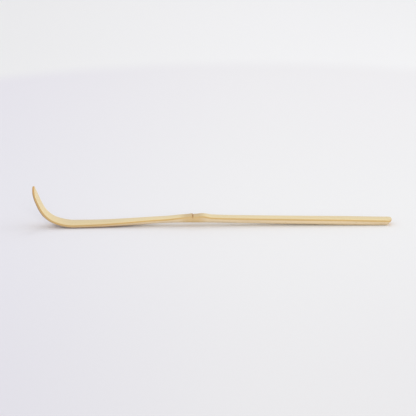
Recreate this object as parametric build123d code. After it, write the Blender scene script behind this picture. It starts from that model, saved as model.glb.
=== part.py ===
from build123d import *
import os
from math import cos, pi, radians, sin, sqrt

# Bamboo tea scoop: one strip of bamboo, carved by knife and bent by heat into a scoop at one end.
# Millimetres and degrees. The origin is under the middle of the strip, on the table it lies on.
# +X runs towards the tail of the handle, +Y across the strip and +Z up. The skin of the bamboo is
# the upper side, which becomes the inner face of the scoop. A run is a distance along the strip
# from the end of the tail.

# Lengths along the strip
overall_length = 180.0
handle_length = 100.1
ridge_offset = 5.3
handle_offset = 17.5
arch_offset = 8.0
waist_offset = 15.3
neck_offset = 12.5
lip_taper_length = 3.0
belly_rest_length = 7.0
tail_rest_length = 13.4
swell_offset = 26.5

# Heights of the underside
arch_rise = 1.8
rest_depth = 0.15

# The bend: radius of the underside and turn of each arc, from the belly up to the point
belly_radius = 25.2
belly_turn = 26.0
bend_radius = 14.1
bend_turn = 40.0
blade_radius = 44.6
blade_turn = 10.3
lip_radius = 10.5
lip_turn = 22.8

# Widths
blade_width = 7.8
scoop_width = 9.3
neck_width = 8.2
waist_width = 5.95
handle_width = 5.8
tail_width = 6.8

# Thicknesses
lip_thickness = 1.1
blade_thickness = 1.45
bend_thickness = 2.15
belly_thickness = 2.5
waist_thickness = 2.8
node_thickness = 3.85
handle_thickness = 3.38
swell_thickness = 3.72
tail_thickness = 3.25

# The node: a ridge across the skin, and the groove where the sheath of the culm grew
ridge_height = 0.45
ridge_length = 9.1
scar_width = 0.7
scar_depth = 0.35

# The cuts that end the strip: a pointed lip, and a tail with round corners and a facet under it
point_length = 7.3
point_flat = 0.72
tail_corner_radius = 2.3
tail_facet_length = 2.4
tail_edge_thickness = 0.5
knife_relief = 0.05

# The cross-section: curve of the skin across the strip, and how far the rounded underside rises
# towards its edges. The corners are shares of the thickness, and so is the most the underside rises.
skin_radius = 24.0
underside_rise = 0.55
skin_corner_share = 0.18
flesh_corner_share = 0.12
underside_rise_share = 0.23

# Distances between the stations of the loft, and how far cutters pass the surfaces they cut
lip_step = 0.7
bend_step = 2.5
shaft_step = 5.0
node_step = 1.5
overrun = 1.0

tail_x = overall_length / 2
bend_arcs = [
    (belly_radius, radians(belly_turn)),
    (bend_radius, radians(bend_turn)),
    (blade_radius, radians(blade_turn)),
    (lip_radius, radians(lip_turn)),
]


def place_on_bend(run_past_bend):
    """Sideways and upward travel of the underside and its slope, at a run past the start of the bend."""
    across, up, slope = 0.0, 0.0, 0.0
    left = run_past_bend
    for radius, turn in bend_arcs:
        is_last = (radius, turn) == bend_arcs[-1]
        step = left / radius if is_last else min(turn, left / radius)
        across += radius * (sin(slope + step) - sin(slope))
        up += radius * (cos(slope) - cos(slope + step))
        slope += step
        left -= radius * step
    return across, up, slope


def reach_of_bend():
    """How far the underside of the bend goes sideways, up to where it first stands upright."""
    slope, run = 0.0, 0.0
    for radius, turn in bend_arcs:
        step = min(turn, pi / 2 - slope)
        run += radius * step
        slope += step
    return place_on_bend(run)[0]


bend_length = sum(radius * turn for radius, turn in bend_arcs)
bend_run = overall_length - reach_of_bend()
lip_run = bend_run + bend_length


def fair(run, marks):
    """Height of a smooth curve through (run, value) marks, level at both ends, with no overshoot."""
    marks = sorted(marks)
    run = min(max(run, marks[0][0]), marks[-1][0])
    slopes = [(b[1] - a[1]) / (b[0] - a[0]) for a, b in zip(marks, marks[1:])]
    inner = [2 * p * q / (p + q) if p * q > 0 else 0.0 for p, q in zip(slopes, slopes[1:])]
    tangents = [0.0, *inner, 0.0]
    i = max(k for k, mark in enumerate(marks[:-1]) if mark[0] <= run)
    (start, low), (end, high) = marks[i], marks[i + 1]
    span = end - start
    t = (run - start) / span
    along = low * (1 + 2 * t) * (1 - t) ** 2 + high * (3 - 2 * t) * t**2
    return along + span * t * (1 - t) * (tangents[i] * (1 - t) - tangents[i + 1] * t)


def width_at(run):
    """Width of the strip before its ends are cut: narrow blade, wide scoop, slim handle."""
    return fair(run, [
        (0.0, tail_width),
        (handle_length - handle_offset, handle_width),
        (handle_length + waist_offset, waist_width),
        (bend_run - neck_offset, neck_width),
        (bend_run + belly_radius * radians(belly_turn) / 4, scoop_width),
        (lip_run - point_length - blade_radius * radians(blade_turn) / 2, blade_width),
    ])


def thickness_at(run):
    """Thickness of the strip, without the ridge of the node."""
    return fair(run, [
        (0.0, tail_thickness),
        (swell_offset, swell_thickness),
        (handle_length - handle_offset, handle_thickness),
        (handle_length, node_thickness),
        (handle_length + waist_offset, waist_thickness),
        (bend_run, belly_thickness),
        (bend_run + belly_radius * radians(belly_turn), bend_thickness),
        (lip_run - lip_taper_length, blade_thickness),
        (lip_run, lip_thickness),
    ])


def ridge_at(run):
    """Height that the ridge of the node adds to the skin."""
    off_crest = abs(run - handle_length + ridge_offset) / (ridge_length / 2)
    return ridge_height * cos(pi / 2 * min(off_crest, 1.0)) ** 2


def underside_at(run):
    """Height of the underside of the straight strip, before its two rests are planed flat."""
    rise = fair(run, [
        (tail_rest_length, 0.0),
        (handle_length + arch_offset, arch_rise),
        (bend_run - belly_rest_length, 0.0),
    ])
    return rise - rest_depth


def station(run):
    """Plane across the strip with its origin on the underside, X across and Y towards the skin."""
    across, up, slope = place_on_bend(max(run - bend_run, 0.0))
    x = tail_x - min(run, bend_run) - across
    z = underside_at(run) + up
    return Plane(origin=(x, 0, z), x_dir=(0, 1, 0), z_dir=(cos(slope), 0, -sin(slope)))


def section(run):
    """Cross-section at a run: crowned skin, upright sides and an underside that curves up towards
    them, as the fourth power of the distance from its middle."""
    half = width_at(run) / 2
    height = thickness_at(run) + ridge_at(run)
    skin_corner = skin_corner_share * height
    flesh_corner = flesh_corner_share * height
    shoulder = half - skin_corner
    crown = skin_radius - sqrt(skin_radius**2 - shoulder**2)
    edge = height - crown
    heel = half - flesh_corner
    rise = min(underside_rise, underside_rise_share * height)
    knee = rise + 4 * rise * flesh_corner / heel
    outline = Wire([
        Bezier((-shoulder, edge), (0, height + crown), (shoulder, edge)),
        Bezier((shoulder, edge), (half, edge), (half, edge - skin_corner)),
        Line((half, edge - skin_corner), (half, knee + flesh_corner)),
        Bezier((half, knee + flesh_corner), (half, knee), (heel, rise)),
        Bezier((heel, rise), (heel / 2, -rise), (0, rise), (-heel / 2, -rise), (-heel, rise)),
        Bezier((-heel, rise), (-half, knee), (-half, knee + flesh_corner)),
        Line((-half, knee + flesh_corner), (-half, edge - skin_corner)),
        Bezier((-half, edge - skin_corner), (-half, edge), (-shoulder, edge)),
    ])
    return station(run) * Face(outline)


def make_stretch(start, end, step):
    """One stretch of the strip, lofted through even stations about a step apart."""
    count = max(2, round((end - start) / step))
    return loft([section(start + (end - start) * i / count) for i in range(count + 1)])


def make_blank():
    """The bent strip before its ends are cut and its underside is planed."""
    node_start = handle_length - ridge_offset - ridge_length / 2
    node_end = handle_length + ridge_length / 2
    lip_start = lip_run - lip_radius * radians(lip_turn)
    handle = make_stretch(-overrun, node_start, shaft_step)
    node = make_stretch(node_start, node_end, node_step)
    shaft = make_stretch(node_end, bend_run, shaft_step)
    bend = make_stretch(bend_run, lip_start, bend_step)
    lip = make_stretch(lip_start, lip_run + overrun, lip_step)
    return handle + node + shaft + bend + lip


def make_scar():
    """Ring-shaped cutter for the groove across the skin where the sheath of the culm grew."""
    skin_z = underside_at(handle_length) + thickness_at(handle_length) + ridge_at(handle_length)
    tube_radius = scar_width / 2
    axis_z = skin_z - scar_depth + tube_radius - skin_radius
    return Location((tail_x - handle_length, 0, axis_z), (0, 90, 0)) * Torus(skin_radius, tube_radius)


def make_lip_cutter():
    """What the knife takes off round the lip, leaving a point with parabolic sides."""
    across, top, _ = place_on_bend(bend_length)
    lip_x = tail_x - bend_run - across
    half = width_at(lip_run - point_length) / 2 + knife_relief
    shoulder = top - point_length
    side = scoop_width
    outline = [
        Polyline((-half, shoulder), (-side, shoulder), (-side, top + side), (side, top + side)),
        Polyline((side, top + side), (side, shoulder), (half, shoulder)),
        Bezier((half, shoulder), (half, shoulder + point_length / 2), (point_flat / 2, top)),
        Line((point_flat / 2, top), (-point_flat / 2, top)),
        Bezier((-point_flat / 2, top), (-half, shoulder + point_length / 2), (-half, shoulder)),
    ]
    front = Plane(origin=(lip_x, 0, 0), x_dir=(0, 1, 0), z_dir=(1, 0, 0))
    return extrude(front * make_face(outline), point_length, both=True)


def make_tail_cutter():
    """What saw and knife take off the tail: its two corners, and a slanting facet under its end."""
    corner_x = tail_x - tail_corner_radius
    half = tail_width / 2 + knife_relief
    flat = half - tail_corner_radius
    bulge = tail_corner_radius * sqrt(0.5)
    past = tail_x + 2 * overrun
    side = half + overrun
    corners = [
        ThreePointArc((corner_x, -half), (corner_x + bulge, -flat - bulge), (tail_x, -flat)),
        Line((tail_x, -flat), (tail_x, flat)),
        ThreePointArc((tail_x, flat), (corner_x + bulge, flat + bulge), (corner_x, half)),
        Polyline((corner_x, half), (corner_x, side), (past, side)),
        Polyline((past, side), (past, -side), (corner_x, -side), (corner_x, -half)),
    ]
    facet_rise = tail_thickness - rest_depth - tail_edge_thickness
    steepness = facet_rise / tail_facet_length
    facet = Polyline(
        (tail_x - tail_facet_length - overrun, -overrun * steepness),
        (past, facet_rise + (past - tail_x) * steepness),
        (past, -overrun * steepness),
        close=True,
    )
    corner_cut = extrude(make_face(corners), tail_thickness + overrun, both=True)
    return corner_cut + extrude(Plane.XZ * make_face(facet), side, both=True)


def make_scoop():
    """The finished scoop as one solid."""
    below = Box(
        2 * overall_length,
        2 * scoop_width,
        overall_length,
        align=(Align.CENTER, Align.CENTER, Align.MAX),
    )
    scoop = make_blank() - make_scar() - make_lip_cutter() - make_tail_cutter() - below
    scoop.label = "bamboo_scoop"
    return scoop


os.makedirs("parts", exist_ok=True)
bamboo_scoop = make_scoop()
size = bamboo_scoop.bounding_box().size
print("length", round(size.X, 2), "width", round(size.Y, 2), "height", round(size.Z, 2))
export_step(bamboo_scoop, "parts/bamboo_scoop.step")
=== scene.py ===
from math import cos, pi, radians, sin, sqrt
import bpy
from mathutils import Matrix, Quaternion, Vector


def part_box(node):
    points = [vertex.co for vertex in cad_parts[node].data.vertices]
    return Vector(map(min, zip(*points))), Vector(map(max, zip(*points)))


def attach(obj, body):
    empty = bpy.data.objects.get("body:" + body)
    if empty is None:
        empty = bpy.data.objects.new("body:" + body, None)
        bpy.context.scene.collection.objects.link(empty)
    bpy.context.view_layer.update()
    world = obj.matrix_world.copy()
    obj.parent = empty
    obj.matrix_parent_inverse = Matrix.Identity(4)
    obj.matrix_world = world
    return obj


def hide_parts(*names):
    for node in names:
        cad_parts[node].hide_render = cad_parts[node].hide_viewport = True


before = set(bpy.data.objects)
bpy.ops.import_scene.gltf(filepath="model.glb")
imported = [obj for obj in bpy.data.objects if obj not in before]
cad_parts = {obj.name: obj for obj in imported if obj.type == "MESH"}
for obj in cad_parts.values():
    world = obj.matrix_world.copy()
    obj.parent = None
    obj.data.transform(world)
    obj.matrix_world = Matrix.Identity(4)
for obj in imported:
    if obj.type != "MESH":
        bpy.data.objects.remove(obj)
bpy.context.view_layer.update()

# The strip: one split of white bamboo, skin side up, thinned from its flesh side with a knife and bent
# over steam at one end. Its section is swept along its own underside from the tail to the lip, and
# one finish covers it, from the pale skin through the tight ochre fibre below it to the soft flesh.
mm = 0.001
_, strip_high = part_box("bamboo_scoop")
tail_x = strip_high.x
overall_length = 180.0 * mm

# Lengths along the strip. A run is a distance along it from the end of the tail.
handle_length = 100.1 * mm
ridge_offset = 5.3 * mm
handle_offset = 17.5 * mm
arch_offset = 8.0 * mm
waist_offset = 15.3 * mm
neck_offset = 12.5 * mm
lip_taper_length = 3.0 * mm
belly_rest_length = 7.0 * mm
tail_rest_length = 13.4 * mm
swell_offset = 26.5 * mm

# Heights of the underside: its hollow, the last scrape along it, and what was planed off its rests
arch_rise = 1.8 * mm
arch_scrape = 0.22 * mm
rest_depth = 0.15 * mm

# The bend: radius of the underside and turn of each arc, from the belly up to the point
belly_radius, belly_turn = 25.2 * mm, radians(26)
bend_radius, bend_turn = 14.1 * mm, radians(40)
blade_radius, blade_turn = 44.6 * mm, radians(10.3)
lip_radius, lip_turn = 10.5 * mm, radians(22.8)
bend_arcs = [
    (belly_radius, belly_turn),
    (bend_radius, bend_turn),
    (blade_radius, blade_turn),
    (lip_radius, lip_turn),
]

# Widths
blade_width = 7.8 * mm
scoop_width = 9.3 * mm
neck_width = 8.2 * mm
waist_width = 5.95 * mm
handle_width = 5.8 * mm
tail_width = 6.8 * mm

# Thicknesses
lip_thickness = 1.1 * mm
blade_thickness = 1.45 * mm
bend_thickness = 2.15 * mm
belly_thickness = 2.5 * mm
waist_thickness = 2.8 * mm
node_thickness = 3.85 * mm
handle_thickness = 3.38 * mm
swell_thickness = 3.72 * mm
tail_thickness = 3.25 * mm

# The node: a ridge across the skin, and the scar of the sheath with its lip and its frayed stubs
ridge_height = 0.45 * mm
ridge_length = 9.1 * mm
scar_width = 0.7 * mm
scar_depth = 0.35 * mm
scar_waver = 0.12 * mm
scar_end_share = 0.86
scar_lip_height = 0.38 * mm
scar_lip_length = 3.2 * mm
stub_count = 44
stub_length, stub_width = 0.3 * mm, 0.1 * mm
stub_row_share = 0.9
stub_leans = (0.45 * pi, 0.6 * pi)
stub_turns = (-0.3, 0.3)
stub_sizes = (0.4, 1.0)

# The cut ends, and the marks of the knife
point_length = 7.3 * mm
point_flat = 0.72 * mm
lip_round = 0.45 * mm
lip_worn_share = 0.3
tail_corner_radius = 2.3 * mm
tail_facet_length = 2.4 * mm
tail_edge_thickness = 0.5 * mm
knife_waver = 0.05 * mm
cut_length, cut_width = 9.0 * mm, 2.2 * mm

# The section: radius of the skin, roundness of the long edges and curve of the underside
skin_radius, blade_skin_radius = 24.0 * mm, 55.0 * mm
skin_corner_share = 0.18
flesh_corner_share = 0.18
tail_edge_share, lip_edge_share = 0.3, 0.6
underside_rise = 0.55 * mm
underside_rise_share = 0.23
blade_rise_share = 0.65
underside_power = 4.0
crease_angle = radians(28)

# Distances between the rings of the sweep
corner_rings = 18
facet_gap, plain_gap, node_gap, scar_gap = 0.1 * mm, 0.8 * mm, 0.25 * mm, 0.05 * mm
bend_gap, point_gap, lip_gap = 0.4 * mm, 0.2 * mm, 0.05 * mm


def place_on_bend(run_past_bend):
    """Sideways and upward travel of the underside and its slope, at a run past the start of the bend."""
    across, up, slope = 0.0, 0.0, 0.0
    left = run_past_bend
    for radius, turn in bend_arcs:
        is_last = (radius, turn) == bend_arcs[-1]
        turned = left / radius if is_last else min(turn, left / radius)
        across += radius * (sin(slope + turned) - sin(slope))
        up += radius * (cos(slope) - cos(slope + turned))
        slope += turned
        left -= radius * turned
    return across, up, slope


def reach_of_bend():
    """How far the underside of the bend goes sideways, up to where it first stands upright."""
    slope, run = 0.0, 0.0
    for radius, turn in bend_arcs:
        turned = min(turn, pi / 2 - slope)
        run += radius * turned
        slope += turned
    return place_on_bend(run)[0]


bend_length = sum(radius * turn for radius, turn in bend_arcs)
bend_run = overall_length - reach_of_bend()
belly_end_run = bend_run + belly_radius * belly_turn
bend_end_run = belly_end_run + bend_radius * bend_turn
lip_run = bend_run + bend_length
point_run = lip_run - point_length
lip_height = place_on_bend(bend_length)[1]
ridge_run = handle_length - ridge_offset


def fair(run, marks):
    """Height of a smooth curve through (run, value) marks, level at both ends, with no overshoot."""
    run = min(max(run, marks[0][0]), marks[-1][0])
    slopes = [(b[1] - a[1]) / (b[0] - a[0]) for a, b in zip(marks, marks[1:])]
    inner = [2 * p * q / (p + q) if p * q > 0 else 0.0 for p, q in zip(slopes, slopes[1:])]
    tangents = [0.0, *inner, 0.0]
    i = max(k for k, mark in enumerate(marks[:-1]) if mark[0] <= run)
    (start, low), (end, high) = marks[i], marks[i + 1]
    span = end - start
    t = (run - start) / span
    along = low * (1 + 2 * t) * (1 - t) ** 2 + high * (3 - 2 * t) * t**2
    return along + span * t * (1 - t) * (tangents[i] * (1 - t) - tangents[i + 1] * t)


def uncut_half_width(run):
    """Half the width, before the tail and the lip are cut."""
    return fair(run, [
        (0.0, tail_width),
        (handle_length - handle_offset, handle_width),
        (handle_length + waist_offset, waist_width),
        (bend_run - neck_offset, neck_width),
        (bend_run + belly_radius * belly_turn / 4, scoop_width),
        (point_run - blade_radius * blade_turn / 2, blade_width),
    ]) / 2


def half_width(run):
    """Half the width, with the tail's corners rounded and the lip cut to a point."""
    half = uncut_half_width(run)
    if run < tail_corner_radius:
        back = tail_corner_radius - run
        half = min(half, half - tail_corner_radius + sqrt(tail_corner_radius**2 - back**2))
    up = place_on_bend(max(run - bend_run, 0.0))[1]
    share = (up - lip_height + point_length) / point_length
    if share > 0:
        full = uncut_half_width(point_run)
        half = min(half, full + (point_flat / 2 - full) * share**2)
    return half


def scar_lip(run):
    """How far the skin swells up to a lip that overhangs the scar, on the scoop's side of it."""
    past = (run - handle_length) / scar_lip_length
    return scar_lip_height * (1 - past) ** 2 if 0 < past < 1 else 0.0


def thickness(run):
    """Thickness of the strip with its node, before its underside is scraped and its tail is cut."""
    off_crest = min(abs(run - ridge_run) / (ridge_length / 2), 1.0)
    return fair(run, [
        (0.0, tail_thickness),
        (swell_offset, swell_thickness),
        (handle_length - handle_offset, handle_thickness),
        (handle_length, node_thickness),
        (handle_length + waist_offset, waist_thickness),
        (bend_run, belly_thickness),
        (belly_end_run, bend_thickness),
        (lip_run - lip_taper_length, blade_thickness),
        (lip_run, lip_thickness),
    ]) + ridge_height * cos(pi / 2 * off_crest) ** 2 + scar_lip(run)


def underside(run):
    """Height of the underside of the straight part, before its two rests are planed flat."""
    return fair(run, [
        (tail_rest_length, 0.0),
        (handle_length + arch_offset, arch_rise),
        (bend_run - belly_rest_length, 0.0),
    ]) - rest_depth


def scraped(run):
    """How much more the knife took off the underside along the arch."""
    return fair(run, [
        (tail_rest_length, 0.0),
        (swell_offset + tail_rest_length / 2, arch_scrape),
        (handle_length + waist_offset, arch_scrape),
        (bend_run - 2 * neck_offset, 0.0),
    ])


def facet_height(run):
    """Height of the knife's slanting cut under the tail, which is below the table past the cut."""
    full_rise = tail_thickness - rest_depth - tail_edge_thickness
    return full_rise * (1 - run / tail_facet_length)


def crown_radius(run):
    """Radius of the skin across the strip, which is flatter on the blade."""
    return fair(run, [(belly_end_run, skin_radius), (bend_end_run, blade_skin_radius)])


def edge_roundness(run):
    """Share of their roundness that the long edges keep. They are sharper at the cut ends."""
    return fair(run, [
        (0.0, tail_edge_share),
        (2 * tail_corner_radius, 1.0),
        (point_run, 1.0),
        (lip_run, lip_edge_share),
    ])


def rise_to_edges(run, height):
    """How far the curved underside rises towards its edges, which is less on the blade."""
    kept = fair(run, [(belly_end_run, 1.0), (bend_end_run, blade_rise_share)])
    return kept * min(underside_rise, underside_rise_share * height)


def worn_off(run, height):
    """How much the worn, round end of the lip has lost on each of its two faces."""
    into_round = max(1 - (lip_run - run) / lip_round, 0.0)
    return min(height / 2 * (1 - sqrt(1 - into_round**2)), lip_worn_share * height)


def ring_runs():
    """Runs of the rings from the tail to the lip, closest together round the node and the cut ends."""
    runs = [tail_corner_radius * (1 - cos(pi / 2 * i / corner_rings)) for i in range(corner_rings)]
    before_node, past_node = ridge_run - ridge_length, handle_length + ridge_length
    before_scar, past_scar = handle_length - scar_width, handle_length + scar_width
    stretches = [
        (tail_corner_radius, tail_facet_length, facet_gap),
        (tail_facet_length, before_node, plain_gap),
        (before_node, before_scar, node_gap),
        (before_scar, past_scar, scar_gap),
        (past_scar, past_node, node_gap),
        (past_node, bend_run, plain_gap),
        (bend_run, point_run, bend_gap),
        (point_run, lip_run - lip_round, point_gap),
        (lip_run - lip_round, lip_run, lip_gap),
    ]
    for start, end, gap in stretches:
        count = round((end - start) / gap)
        runs += [start + (end - start) * i / count for i in range(count)]
    return [*runs, lip_run]


def write_values(mesh, name, kind, values):
    """Stores one value for each point of a mesh under a name."""
    key, flat = "value", values
    if kind == "FLOAT_VECTOR":
        key, flat = "vector", [number for value in values for number in value]
    mesh.attributes.new(name, kind, "POINT").data.foreach_set(key, flat)


def make_line():
    """The line of the underside from tail to lip, with the sizes of the strip stored at each ring."""
    runs = ring_runs()
    places, slopes, heights = [], [], []
    for run in runs:
        across, up, slope = place_on_bend(max(run - bend_run, 0.0))
        cut = max(underside(run) + scraped(run), facet_height(run))
        height = underside(run) + thickness(run) - cut
        worn = worn_off(run, height)
        place = Vector((tail_x - min(run, bend_run) - across, 0, cut + up))
        places.append(place + worn * Vector((sin(slope), 0, cos(slope))))
        slopes.append(slope)
        heights.append(height - 2 * worn)
    rings = list(zip(runs, heights))
    sizes = {
        "run": runs,
        "slope": slopes,
        "height": heights,
        "rise": [rise_to_edges(run, height) for run, height in rings],
        "half": [half_width(run) for run in runs],
        "crown_radius": [crown_radius(run) for run in runs],
        "skin_corner": [skin_corner_share * edge_roundness(run) * height for run, height in rings],
        "flesh_corner": [flesh_corner_share * edge_roundness(run) * height for run, height in rings],
    }
    mesh = bpy.data.meshes.new("strip_line")
    mesh.from_pydata(places, [(i, i + 1) for i in range(len(runs) - 1)], [])
    write_values(mesh, "place", "FLOAT_VECTOR", places)
    for name, values in sizes.items():
        write_values(mesh, name, "FLOAT", values)
    return mesh


def make_section():
    """The outline across the strip as shares of half its width, its skin corner and its flesh corner
    (across), of the height of the skin and the same two corners (level), and of the height of the heel
    where the curved underside ends and of the knee above it (foot). The mesh itself is a plain ring,
    which the sweep pulls into that outline."""
    skin_steps, corner_steps, side_steps, flesh_steps = 16, 6, 6, 12
    half_loop = []
    for i in range(skin_steps // 2):
        reach = 2 * i / skin_steps
        half_loop.append(((reach, -reach, 0), (1, 0, 0), (0, 0, 0)))
    for i in range(corner_steps):
        t = i / corner_steps
        half_loop.append(((1, -((1 - t) ** 2), 0), (1, -(t**2), 0), (0, 0, 0)))
    for i in range(side_steps):
        t = i / side_steps
        half_loop.append(((1, 0, 0), (1 - t, t - 1, t), (0, t, 0)))
    for i in range(corner_steps):
        t = i / corner_steps
        half_loop.append(((1, 0, -(t**2)), (0, 0, (1 - t) ** 2), (t**2, 1 - t**2, 0)))
    for i in range(flesh_steps // 2 + 1):
        reach = 1 - 2 * i / flesh_steps
        half_loop.append(((reach, 0, -reach), (0, 0, 0), (reach**underside_power, 0, 0)))
    mirrored = [((-a, -b, -c), level, foot) for (a, b, c), level, foot in reversed(half_loop[1:-1])]
    loop = half_loop + mirrored
    count = len(loop)
    mesh = bpy.data.meshes.new("strip_section")
    ring = [(cos(2 * pi * i / count) * mm, sin(2 * pi * i / count) * mm, 0) for i in range(count)]
    mesh.from_pydata(ring, [(i, (i + 1) % count) for i in range(count)], [])
    for name, shares in zip(("across_shares", "level_shares", "foot_shares"), zip(*loop)):
        write_values(mesh, name, "FLOAT_VECTOR", shares)
    return mesh


def hold(name, content):
    """An object in the scene that holds a mesh, a lamp or a camera."""
    made = bpy.data.objects.new(name, content)
    bpy.context.scene.collection.objects.link(made)
    return made


def put(tree, kind, inputs=None, **settings):
    """Adds a node with its settings, and gives each named input a value or a link."""
    made = tree.nodes.new(kind)
    for name, value in settings.items():
        setattr(made, name, value)
    for key, value in (inputs or {}).items():
        if isinstance(value, bpy.types.NodeSocket):
            tree.links.new(value, made.inputs[key])
        else:
            made.inputs[key].default_value = value
    return made


def reckon(tree, operation, *terms):
    """One sum on numbers, such as MULTIPLY or MAXIMUM."""
    return put(tree, "ShaderNodeMath", dict(enumerate(terms)), operation=operation).outputs[0]


def step(tree, value, start, end, low=0.0, high=1.0):
    """A smooth step from low to high as the value goes from start to end."""
    inputs = {"Value": value, "From Min": start, "From Max": end, "To Min": low, "To Max": high}
    return put(tree, "ShaderNodeMapRange", inputs, interpolation_type="SMOOTHSTEP").outputs[0]


def noise(tree, place, seed, scale=1.0, detail=1.0, roughness=0.5):
    """Smooth noise at a place, from 0 to 1."""
    inputs = {"Vector": place, "W": seed, "Scale": scale, "Detail": detail, "Roughness": roughness}
    return put(tree, "ShaderNodeTexNoise", inputs, noise_dimensions="4D").outputs[0]


def joined(tree, x, y, z):
    """A vector from three numbers."""
    return put(tree, "ShaderNodeCombineXYZ", {0: x, 1: y, 2: z}).outputs[0]


def split(tree, vector):
    """The three numbers of a vector."""
    return put(tree, "ShaderNodeSeparateXYZ", {0: vector}).outputs


def dot(tree, a, b):
    """The sum of the products of two vectors."""
    return put(tree, "ShaderNodeVectorMath", {0: a, 1: b}, operation="DOT_PRODUCT").outputs["Value"]


def shifted(tree, place, move):
    """A place moved by a vector."""
    return put(tree, "ShaderNodeVectorMath", {0: place, 1: move}, operation="ADD").outputs[0]


def stored(tree, name, kind="FLOAT"):
    """A value that the mesh stores under a name."""
    return put(tree, "GeometryNodeInputNamedAttribute", {"Name": name}, data_type=kind).outputs[0]


def keep(tree, geometry, name, value, kind="FLOAT"):
    """Stores a value on the points under a name, for the finish to read."""
    inputs = {"Geometry": geometry, "Name": name, "Value": value}
    return put(tree, "GeometryNodeStoreNamedAttribute", inputs, data_type=kind).outputs[0]


def draw(tree, low, high, seed):
    """A random number for each point between low and high."""
    return put(tree, "FunctionNodeRandomValue", {2: low, 3: high, "Seed": seed}).outputs[1]


def open_tree(name, sizes, others):
    """A new geometry tree with a Geometry input and output, an input for each size, and the others."""
    tree = bpy.data.node_groups.new(name, "GeometryNodeTree")
    tree.interface.new_socket("Geometry", in_out="INPUT", socket_type="NodeSocketGeometry")
    tree.interface.new_socket("Geometry", in_out="OUTPUT", socket_type="NodeSocketGeometry")
    for size in sizes:
        tree.interface.new_socket(size, in_out="INPUT", socket_type="NodeSocketFloat")
    for other, kind in others:
        tree.interface.new_socket(other, in_out="INPUT", socket_type=kind)
    return tree, tree.nodes.new("NodeGroupInput").outputs


def close_tree(tree, geometry, finish):
    """Ends a geometry tree: instances made real, and every face given the finish."""
    real = put(tree, "GeometryNodeRealizeInstances", {"Geometry": geometry}).outputs[0]
    dressed = put(tree, "GeometryNodeSetMaterial", {"Geometry": real, "Material": finish}).outputs[0]
    put(tree, "NodeGroupOutput", {"Geometry": dressed})


def grow(piece, tree, values):
    """Runs a geometry tree on a piece with its inputs filled, and leaves the result as a plain mesh."""
    growth = piece.modifiers.new(tree.name, "NODES")
    growth.node_group = tree
    for socket in tree.interface.items_tree:
        if socket.in_out == "INPUT" and socket.name in values:
            growth[socket.identifier] = values[socket.name]
    piece.update_tag()
    grown = piece.evaluated_get(bpy.context.evaluated_depsgraph_get())
    mesh = bpy.data.meshes.new_from_object(grown)
    piece.modifiers.clear()
    piece.data = mesh
    mesh.name = piece.name


def skin_fall(tree, radius, aside):
    """How far the crowned skin falls from its middle to a distance aside."""
    squares = reckon(tree, "POWER", radius, 2.0), reckon(tree, "POWER", aside, 2.0)
    level = reckon(tree, "SQRT", reckon(tree, "SUBTRACT", *squares))
    return reckon(tree, "SUBTRACT", radius, level)


def knife_cuts(tree, given, run, across, skin_share, height):
    """How much the knife's uneven cuts took off the strip, which is nothing on its skin."""
    cut = joined(
        tree,
        reckon(tree, "DIVIDE", run, given["Cut length"]),
        reckon(tree, "DIVIDE", across, given["Cut width"]),
        reckon(tree, "DIVIDE", reckon(tree, "MULTIPLY", skin_share, height), given["Cut width"]),
    )
    uneven = reckon(tree, "MULTIPLY", noise(tree, cut, given["Seed"]), given["Knife waver"])
    bared = reckon(tree, "SUBTRACT", 1.0, reckon(tree, "POWER", skin_share, 2.0))
    return reckon(tree, "MULTIPLY", uneven, bared)


def scar_groove(tree, given, run, across, skin_share):
    """Depth of the wavering groove that the sheath left across the skin."""
    crossing = joined(tree, 0.0, reckon(tree, "DIVIDE", across, given["Scar width"]), 0.0)
    ragged = noise(tree, crossing, given["Seed"], scale=1.3, detail=3.0)
    waver = reckon(tree, "MULTIPLY", reckon(tree, "SUBTRACT", ragged, 0.5), given["Scar waver"])
    astray = reckon(tree, "ADD", reckon(tree, "SUBTRACT", run, given["Scar run"]), waver)
    into = reckon(tree, "DIVIDE", astray, reckon(tree, "DIVIDE", given["Scar width"], 2.0))
    bite = reckon(tree, "SUBTRACT", 1.0, reckon(tree, "MULTIPLY", into, into))
    groove = reckon(tree, "MULTIPLY", reckon(tree, "MAXIMUM", bite, 0.0), given["Scar depth"])
    return reckon(tree, "MULTIPLY", groove, step(tree, skin_share, scar_end_share, 1.0))


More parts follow.
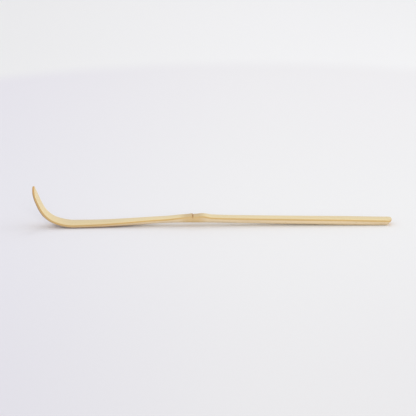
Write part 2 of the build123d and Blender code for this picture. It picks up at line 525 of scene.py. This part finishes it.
def add_stubs(tree, given, strip):
    """Joins to the strip the frayed stubs of the sheath, in a row across the skin along the scar."""
    row = put(tree, "GeometryNodeMeshLine", {"Count": given["Stub count"]}).outputs[0]
    place_in_row = put(tree, "GeometryNodeInputIndex").outputs[0]
    place_in_row = reckon(tree, "ADD", place_in_row, draw(tree, 0.0, 1.0, 1))
    share = reckon(tree, "DIVIDE", place_in_row, given["Stub count"])
    across = reckon(tree, "MULTIPLY", reckon(tree, "SUBTRACT", share, 0.5), given["Stub reach"])
    fall = skin_fall(tree, given["Skin radius"], across)
    move = joined(tree, 0.0, across, reckon(tree, "MULTIPLY", fall, -1.0))
    place = shifted(tree, given["Stub place"], move)
    row = put(tree, "GeometryNodeSetPosition", {"Geometry": row, "Position": place}).outputs[0]
    thorn = {
        "Vertices": 5,
        "Radius Bottom": reckon(tree, "DIVIDE", given["Stub width"], 2.0),
        "Depth": given["Stub length"],
    }
    thorn = put(tree, "GeometryNodeMeshCone", thorn).outputs[0]
    leaning = joined(tree, 0.0, draw(tree, *stub_leans, 2), draw(tree, *stub_turns, 3))
    size = draw(tree, *stub_sizes, 4)
    sown = {"Points": row, "Instance": thorn, "Rotation": leaning, "Scale": size}
    stubs = put(tree, "GeometryNodeInstanceOnPoints", sown).outputs[0]
    stubs = put(tree, "GeometryNodeRealizeInstances", {"Geometry": stubs}).outputs[0]
    stubs = keep(tree, stubs, "fibre", joined(tree, given["Scar run"], 0.0, 0.0), "FLOAT_VECTOR")
    stubs = keep(tree, stubs, "skin_share", 1.0)
    whole = tree.nodes.new("GeometryNodeJoinGeometry")
    for part in (strip, stubs):
        tree.links.new(part, whole.inputs[0])
    return whole.outputs[0]


def make_sweep_tree():
    """Sweeps the section along the line, leaves the knife's uneven cuts on all but the skin, cuts the
    groove of the scar across the skin, planes the rests flat and adds the stubs."""
    sizes = ["Skin radius", "Scar run", "Scar width", "Scar depth", "Scar waver", "Knife waver"]
    sizes += ["Cut length", "Cut width", "Stub length", "Stub width", "Stub reach"]
    others = [
        ("Section", "NodeSocketObject"),
        ("Stub place", "NodeSocketVector"),
        ("Stub count", "NodeSocketInt"),
        ("Seed", "NodeSocketInt"),
        ("Finish", "NodeSocketMaterial"),
    ]
    tree, given = open_tree("sweep_the_strip", sizes, others)
    line = put(tree, "GeometryNodeMeshToCurve", {"Mesh": given["Geometry"]}).outputs[0]
    drawn = put(tree, "GeometryNodeObjectInfo", {"Object": given["Section"]}).outputs["Geometry"]
    section = put(tree, "GeometryNodeMeshToCurve", {"Mesh": drawn}).outputs[0]
    swept = {"Curve": line, "Profile Curve": section, "Fill Caps": True}
    strip = put(tree, "GeometryNodeCurveToMesh", swept).outputs[0]

    run, slope = stored(tree, "run"), stored(tree, "slope")
    half, height = stored(tree, "half"), stored(tree, "height")
    rise, radius = stored(tree, "rise"), stored(tree, "crown_radius")
    skin_corner, flesh_corner = stored(tree, "skin_corner"), stored(tree, "flesh_corner")
    across_shares = stored(tree, "across_shares", "FLOAT_VECTOR")
    level_shares = stored(tree, "level_shares", "FLOAT_VECTOR")
    foot_shares = stored(tree, "foot_shares", "FLOAT_VECTOR")
    skin_share = split(tree, level_shares)[0]

    across = dot(tree, across_shares, joined(tree, half, skin_corner, flesh_corner))
    shaved = knife_cuts(tree, given, run, across, skin_share, height)
    remaining = reckon(tree, "SUBTRACT", 1.0, reckon(tree, "DIVIDE", shaved, half))
    across = reckon(tree, "MULTIPLY", across, remaining)

    edge_of_skin = reckon(tree, "SUBTRACT", half, skin_corner)
    aside = reckon(tree, "MINIMUM", reckon(tree, "ABSOLUTE", across), edge_of_skin)
    skin = reckon(tree, "SUBTRACT", height, skin_fall(tree, radius, aside))
    slant = reckon(tree, "DIVIDE", flesh_corner, reckon(tree, "SUBTRACT", half, flesh_corner))
    steepness = reckon(tree, "MULTIPLY", rise, underside_power)
    knee = reckon(tree, "ADD", rise, reckon(tree, "MULTIPLY", steepness, slant))
    foot = dot(tree, foot_shares, joined(tree, rise, knee, 0.0))
    level = dot(tree, level_shares, joined(tree, skin, skin_corner, flesh_corner))
    level = reckon(tree, "ADD", reckon(tree, "ADD", level, foot), shaved)
    level = reckon(tree, "SUBTRACT", level, scar_groove(tree, given, run, across, skin_share))
    depth = reckon(tree, "SUBTRACT", skin, level)

    towards_skin = joined(tree, reckon(tree, "SINE", slope), 0.0, reckon(tree, "COSINE", slope))
    raised = {0: towards_skin, "Scale": level}
    raised = put(tree, "ShaderNodeVectorMath", raised, operation="SCALE").outputs[0]
    set_off = shifted(tree, raised, joined(tree, 0.0, across, 0.0))
    x, y, z = split(tree, shifted(tree, stored(tree, "place", "FLOAT_VECTOR"), set_off))
    planed = joined(tree, x, y, reckon(tree, "MAXIMUM", z, 0.0))
    strip = keep(tree, strip, "fibre", joined(tree, run, across, depth), "FLOAT_VECTOR")
    strip = keep(tree, strip, "skin_share", skin_share)
    strip = put(tree, "GeometryNodeSetPosition", {"Geometry": strip, "Position": planed}).outputs[0]

    falling = reckon(tree, "MULTIPLY", reckon(tree, "SINE", slope), -1.0)
    along = joined(tree, reckon(tree, "COSINE", slope), 0.0, falling)
    facing = put(tree, "GeometryNodeInputNormal").outputs["Normal"]
    strip = keep(tree, strip, "end_grain", reckon(tree, "ABSOLUTE", dot(tree, facing, along)))
    close_tree(tree, add_stubs(tree, given, strip), given["Finish"])
    return tree


def paint(red, green, blue):
    """A colour from its 0 to 255 screen values."""
    def straight(value):
        value /= 255
        return value / 12.92 if value <= 0.04045 else ((value + 0.055) / 1.055) ** 2.4
    return (straight(red), straight(green), straight(blue), 1.0)


skin_colour = paint(233, 213, 164)
tight_fibre_colour = paint(205, 170, 107)
flesh_colour = paint(218, 196, 159)
bundle_colour = paint(176, 136, 84)
node_colour = paint(205, 174, 121)
scar_colour = paint(184, 148, 104)
# Brown of the heat of bending, also used as painted shade on the low belly and the blade's back
toasted_and_shade_colour = paint(132, 86, 42)
cut_end_colour = paint(206, 162, 100)

# Depths below the skin at which the wood changes, and how softly, as a share of the depth
skin_depth, skin_softness = 0.12 * mm, 0.5
tight_fibre_depth, tight_fibre_softness = 0.85 * mm, 0.3

# The grain: where each mark starts and is full in its pattern, and how strongly it shows
bundle_start, bundle_full = 0.42, 0.2
skin_bundle_share, flesh_bundle_share = 0.06, 0.4
fleck_start, fleck_full, fleck_share = 0.66, 0.74, 0.3
streak_start, streak_full = 0.3, 0.7
dark_streak, light_streak = 0.94, 1.04

# The cut ends, the node and the scar: where each starts and is full, and how strongly it shows
end_grain_start, end_grain_full, end_grain_share = 0.3, 0.7, 0.8
node_start, node_full, node_share = 8.0 * mm, 2.0 * mm, 0.8
scar_start, scar_full, scar_share = 0.7 * scar_width, 0.2 * scar_width, 0.6

# The heat of the bending, which also carries painted shade on the low edges of the belly and the back
# of the blade: where it starts and is full along the strip, and its strength past the bend
heat_start, heat_full = bend_run - 3 * neck_offset, bend_run - neck_offset
heat_past_bend = 0.95

# How it browns the wood from the skin down to the flesh, by the share of the thickness. Deep down,
# near the underside, that brown is partly painted shade.
scorch_start, scorch_full = 0.25, 0.85
skin_scorch, flesh_scorch_and_shade = 0.12, 0.95

# Its strength between the two sides, on the belly and on the blade, and where the sides start. On the
# belly's underside, near the table, it is partly painted shade.
belly_middle_heat_and_shade, blade_middle_heat = 0.85, 0.25
side_start, side_full = 0.8, 0.97

# Gloss and relief
skin_roughness, flesh_roughness, streak_roughness = 0.42, 0.6, 0.1
streak_relief, bundle_relief = 0.6, 0.4
grain_relief, grain_relief_share = 0.04 * mm, 0.6


def blend(tree, share, first, second, way="MIX"):
    """Two colours mixed, by a share of the second."""
    inputs = {"Factor": share, 6: first, 7: second}
    return put(tree, "ShaderNodeMix", inputs, data_type="RGBA", blend_type=way).outputs[2]


def make_grain():
    """Shared grain of bamboo, from a place given as run, across and depth: long soft streaks, bundles of
    vessels, which show as dots on a cut end and as thin lines along a side, flecks, and the relief."""
    group = bpy.data.node_groups.new("bamboo_grain", "ShaderNodeTree")
    group.interface.new_socket("Place", in_out="INPUT", socket_type="NodeSocketVector")
    sizes = ["Streak length", "Streak pitch", "Bundle length", "Bundle pitch", "Fleck length", "Seed"]
    for size in sizes:
        group.interface.new_socket(size, in_out="INPUT", socket_type="NodeSocketFloat")
    for result in ("Streak", "Bundle", "Fleck", "Relief"):
        group.interface.new_socket(result, in_out="OUTPUT", socket_type="NodeSocketFloat")
    given = group.nodes.new("NodeGroupInput").outputs
    run, across, depth = split(group, given["Place"])

    def stretched(length, pitch):
        """The place in lengths along the strip and in pitches across it."""
        return joined(
            group,
            reckon(group, "DIVIDE", run, length),
            reckon(group, "DIVIDE", across, pitch),
            reckon(group, "DIVIDE", depth, pitch),
        )

    streaked = stretched(given["Streak length"], given["Streak pitch"])
    streak = noise(group, streaked, given["Seed"], detail=3.0, roughness=0.6)
    bundled = stretched(given["Bundle length"], given["Bundle pitch"])
    cells = {"Vector": bundled, "W": given["Seed"], "Scale": 1.0, "Randomness": 0.85}
    away = put(group, "ShaderNodeTexVoronoi", cells, voronoi_dimensions="4D").outputs["Distance"]
    bundle = step(group, away, bundle_start, bundle_full)
    specked = stretched(given["Fleck length"], given["Bundle pitch"])
    fleck = step(group, noise(group, specked, given["Seed"]), fleck_start, fleck_full)
    raised = reckon(group, "MULTIPLY", bundle, bundle_relief)
    relief = reckon(group, "ADD", reckon(group, "MULTIPLY", streak, streak_relief), raised)
    put(group, "NodeGroupOutput", {"Streak": streak, "Bundle": bundle, "Fleck": fleck, "Relief": relief})
    return group


grain = make_grain()


def new_finish(name):
    """A material with an empty tree."""
    finish = bpy.data.materials.new(name)
    finish.use_nodes = True
    finish.node_tree.nodes.clear()
    return finish, finish.node_tree


def read(tree, name):
    """What the mesh stores under a name, as a finish reads it."""
    return put(tree, "ShaderNodeAttribute", attribute_name=name).outputs


def toasting_and_shade(tree, run, across, depth):
    """How far the heat of the bending browned the wood: hardly on the skin, and most on the sides. Low
    on the belly and on the back of the blade this brown is partly painted shade.
    """
    heat = step(tree, run, heat_start, heat_full)
    heat = reckon(tree, "MULTIPLY", heat, step(tree, run, bend_run, bend_end_run, 1.0, heat_past_bend))
    sunk = reckon(tree, "DIVIDE", depth, read(tree, "height")["Fac"])
    scorched = step(tree, sunk, scorch_start, scorch_full, skin_scorch, flesh_scorch_and_shade)
    aside = reckon(tree, "DIVIDE", reckon(tree, "ABSOLUTE", across), read(tree, "half")["Fac"])
    between = step(tree, run, bend_run, bend_end_run, belly_middle_heat_and_shade, blade_middle_heat)
    heat = reckon(tree, "MULTIPLY", heat, step(tree, aside, side_start, side_full, between, 1.0))
    return reckon(tree, "MULTIPLY", heat, scorched)


def below(tree, depth, change, softness):
    """How far the wood has changed at a depth, from 0 above the change to 1 below it."""
    return step(tree, depth, (1 - softness) * change, (1 + softness) * change)


def make_bamboo_finish():
    """Bare white bamboo, whose colour and gloss follow the depth below the skin."""
    finish, tree = new_finish("white_bamboo")
    place = read(tree, "fibre")["Vector"]
    end_grain = read(tree, "end_grain")["Fac"]
    skin_share = read(tree, "skin_share")["Fac"]
    run, across, depth = split(tree, place)
    sizes = {
        "Place": place,
        "Streak length": 40 * mm,
        "Streak pitch": 0.9 * mm,
        "Bundle length": 22 * mm,
        "Bundle pitch": 0.55 * mm,
        "Fleck length": 1.6 * mm,
        "Seed": 3.0,
    }
    grained = put(tree, "ShaderNodeGroup", sizes, node_tree=grain).outputs

    under_skin = below(tree, depth, skin_depth, skin_softness)
    colour = blend(tree, under_skin, skin_colour, tight_fibre_colour)
    in_flesh = below(tree, depth, tight_fibre_depth, tight_fibre_softness)
    colour = blend(tree, in_flesh, colour, flesh_colour)
    off_node = reckon(tree, "ABSOLUTE", reckon(tree, "SUBTRACT", run, handle_length))
    near_node = step(tree, off_node, node_start, node_full, 0.0, node_share)
    colour = blend(tree, near_node, colour, node_colour)
    # Browning by the heat of bending, partly painted shade low on the belly and on the blade's back
    colour = blend(tree, toasting_and_shade(tree, run, across, depth), colour, toasted_and_shade_colour)
    shown = step(tree, depth, 0.0, tight_fibre_depth, skin_bundle_share, flesh_bundle_share)
    colour = blend(tree, reckon(tree, "MULTIPLY", grained["Bundle"], shown), colour, bundle_colour)
    flecked = reckon(tree, "MULTIPLY", grained["Fleck"], fleck_share)
    colour = blend(tree, flecked, colour, bundle_colour)
    in_scar = step(tree, off_node, scar_start, scar_full)
    scarred = reckon(tree, "MULTIPLY", in_scar, step(tree, skin_share, scar_end_share, 1.0))
    colour = blend(tree, reckon(tree, "MULTIPLY", scarred, scar_share), colour, scar_colour)
    cut_across = step(tree, end_grain, end_grain_start, end_grain_full, 0.0, end_grain_share)
    colour = blend(tree, cut_across, colour, cut_end_colour)
    shade = step(tree, grained["Streak"], streak_start, streak_full, dark_streak, light_streak)
    colour = blend(tree, 1.0, colour, joined(tree, shade, shade, shade), "MULTIPLY")

    dull = step(tree, depth, 0.0, skin_depth, skin_roughness, flesh_roughness)
    rough = reckon(tree, "ADD", dull, reckon(tree, "MULTIPLY", grained["Streak"], streak_roughness))
    bump = {"Height": grained["Relief"], "Distance": grain_relief, "Strength": grain_relief_share}
    raised = put(tree, "ShaderNodeBump", bump).outputs[0]
    surface = {"Base Color": colour, "Roughness": rough, "Normal": raised, "IOR": 1.5}
    shader = put(tree, "ShaderNodeBsdfPrincipled", surface).outputs[0]
    put(tree, "ShaderNodeOutputMaterial", {"Surface": shader})
    return finish


def make_strip():
    """Sweeps the strip where the solid lies, and shades it smooth up to its cut edges."""
    section = hold("strip_section", make_section())
    strip = hold("bamboo_strip", make_line())
    stub_run = handle_length + scar_width / 3
    stub_level = underside(stub_run) + thickness(stub_run) - stub_width
    grow(strip, make_sweep_tree(), {
        "Skin radius": skin_radius,
        "Scar run": handle_length,
        "Scar width": scar_width,
        "Scar depth": scar_depth,
        "Scar waver": scar_waver,
        "Knife waver": knife_waver,
        "Cut length": cut_length,
        "Cut width": cut_width,
        "Stub length": stub_length,
        "Stub width": stub_width,
        "Stub reach": 2 * stub_row_share * half_width(handle_length),
        "Stub place": (tail_x - stub_run, 0.0, stub_level),
        "Stub count": stub_count,
        "Section": section,
        "Seed": 7,
        "Finish": bamboo_finish,
    })
    bpy.data.objects.remove(section)
    strip.data.shade_smooth()
    strip.data.set_sharp_from_angle(angle=crease_angle)
    return strip


bamboo_finish = make_bamboo_finish()
strip = make_strip()
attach(strip, "root")
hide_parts("bamboo_scoop")

# The table: one wide pale sheet under the scoop, with painted shade that greys it a little near the
# camera and faint painted light far off. Its bowed far edge is out of focus, so it is painted on the
# sheet as a soft change to the slightly lighter wall behind it. Painted shade darkens both on the left.
table_reach = 2.5
edge_distance, edge_skew, edge_bow, edge_blur = 0.54, 0.084, -1.57, 0.05
table_colour = paint(244, 244, 243)
near_table_shade_colour = paint(234, 233, 233)
near_start, near_end = 0.05, -0.3
far_table_light_colour = paint(245, 244, 244)
far_table_distance = 0.45
wall_colour = paint(250, 250, 249)
wall_glow, wall_glow_start, wall_glow_end = 0.0189, 0.5, 1.3

# Painted shade on the left: what the colours are multiplied by there. That shade starts and is full at
# two slants to the side, counted from a point in front of the scoop.
left_table_shade = (0.914, 0.902, 0.963, 1.0)
left_wall_shade = (0.938, 0.938, 0.938, 1.0)
left_start, left_full = 0.1, -0.35
shade_distance = 0.49
least_shade_distance = 0.6 * shade_distance


def make_table():
    """One flat square with its finish."""
    mesh = bpy.data.meshes.new("table_top")
    corners = [(-table_reach, -table_reach, 0), (table_reach, -table_reach, 0)]
    corners += [(table_reach, table_reach, 0), (-table_reach, table_reach, 0)]
    mesh.from_pydata(corners, [], [(0, 1, 2, 3)])
    finish, tree = new_finish("pale_table")
    x, y, _ = split(tree, put(tree, "ShaderNodeTexCoord").outputs["Object"])
    bowed = reckon(tree, "MULTIPLY", reckon(tree, "MULTIPLY", x, x), edge_bow)
    edge = reckon(tree, "ADD", reckon(tree, "MULTIPLY", x, edge_skew), bowed)
    past = reckon(tree, "SUBTRACT", reckon(tree, "SUBTRACT", y, edge_distance), edge)
    on_wall = step(tree, past, -edge_blur, edge_blur)
    # Painted shade towards the camera, faint painted light far off, then painted shade on the left
    colour = blend(tree, step(tree, y, near_start, near_end), table_colour, near_table_shade_colour)
    colour = blend(tree, step(tree, y, 0.0, far_table_distance), colour, far_table_light_colour)
    away = reckon(tree, "MAXIMUM", reckon(tree, "ADD", y, shade_distance), least_shade_distance)
    left = step(tree, reckon(tree, "DIVIDE", x, away), left_start, left_full)
    colour = blend(tree, left, colour, left_table_shade, "MULTIPLY")
    wall = blend(tree, left, wall_colour, left_wall_shade, "MULTIPLY")
    colour = blend(tree, on_wall, colour, wall)
    seen = put(tree, "ShaderNodeLightPath").outputs["Is Camera Ray"]
    far = step(tree, y, wall_glow_start, wall_glow_end, 0.0, wall_glow)
    glow = reckon(tree, "MULTIPLY", reckon(tree, "MULTIPLY", on_wall, far), seen)
    shader = {"Base Color": colour, "Roughness": 0.8, "Specular IOR Level": 0.2}
    shader |= {"Emission Color": wall_colour, "Emission Strength": glow}
    surface = put(tree, "ShaderNodeBsdfPrincipled", shader).outputs[0]
    put(tree, "ShaderNodeOutputMaterial", {"Surface": surface})
    mesh.materials.append(finish)
    return hold("table_top", mesh)


make_table()

# The light: an even pale room and three round soft lamps. A low one stands on the right, the strongest
# one on the camera's side fills the side of the strip and the gap under its arch, and a weak one hangs
# behind. Each lamp's height and turn are angles.
room_light = 0.929
room_colour = paint(239, 239, 242)
lamps = {
    "side_lamp": dict(height=radians(10), turn=radians(5), distance=1.2, side=0.8, power=2.75),
    "front_lamp": dict(height=radians(21.8), turn=radians(-80), distance=2.2, side=1.0, power=13.1),
    "back_lamp": dict(height=radians(53.3), turn=radians(80), distance=2.2, side=0.7, power=2.1),
}


def hang_lamp(name, height, turn, distance, side, power):
    """A round soft lamp that faces the scoop, at a turn from +X and a height above the table."""
    lamp = bpy.data.lights.new(name, "AREA")
    lamp.shape, lamp.size, lamp.energy = "DISK", side, power
    held = hold(name, lamp)
    flat = cos(height) * distance
    held.location = (flat * cos(turn), flat * sin(turn), sin(height) * distance)
    held.rotation_mode = "QUATERNION"
    held.rotation_quaternion = (-held.location).to_track_quat("-Z", "Y")


def light_the_room():
    """The even light of the room, from all round."""
    world = bpy.data.worlds.new("pale_room")
    world.use_nodes = True
    backdrop = world.node_tree.nodes["Background"].inputs
    backdrop["Color"].default_value = room_colour
    backdrop["Strength"].default_value = room_light
    bpy.context.scene.world = world


for lamp_name, lamp_sizes in lamps.items():
    hang_lamp(lamp_name, **lamp_sizes)
light_the_room()

# The camera: a long lens on the photograph's line of sight, square on to the strip and a little above
# it. It stands at its distance from the point that it aims at, and is rolled very slightly.
camera_distance, camera_height, camera_roll, camera_lens = 0.49, radians(17), radians(-0.4), 84.4
sight = Vector((-2.38 * mm, 0, 9.05 * mm))


def set_camera():
    """Stands the camera in its place and makes it the scene's own."""
    camera = bpy.data.cameras.new("photo_camera")
    camera.lens, camera.sensor_width = camera_lens, 36.0
    camera.clip_start, camera.clip_end = 0.02, 20.0
    held = hold("photo_camera", camera)
    held.location = sight + camera_distance * Vector((0, -cos(camera_height), sin(camera_height)))
    aim = (sight - held.location).to_track_quat("-Z", "Y")
    held.rotation_mode = "QUATERNION"
    held.rotation_quaternion = aim @ Quaternion((0, 0, 1), camera_roll)
    bpy.context.scene.camera = held


set_camera()
bpy.context.scene.view_settings.view_transform = "Standard"
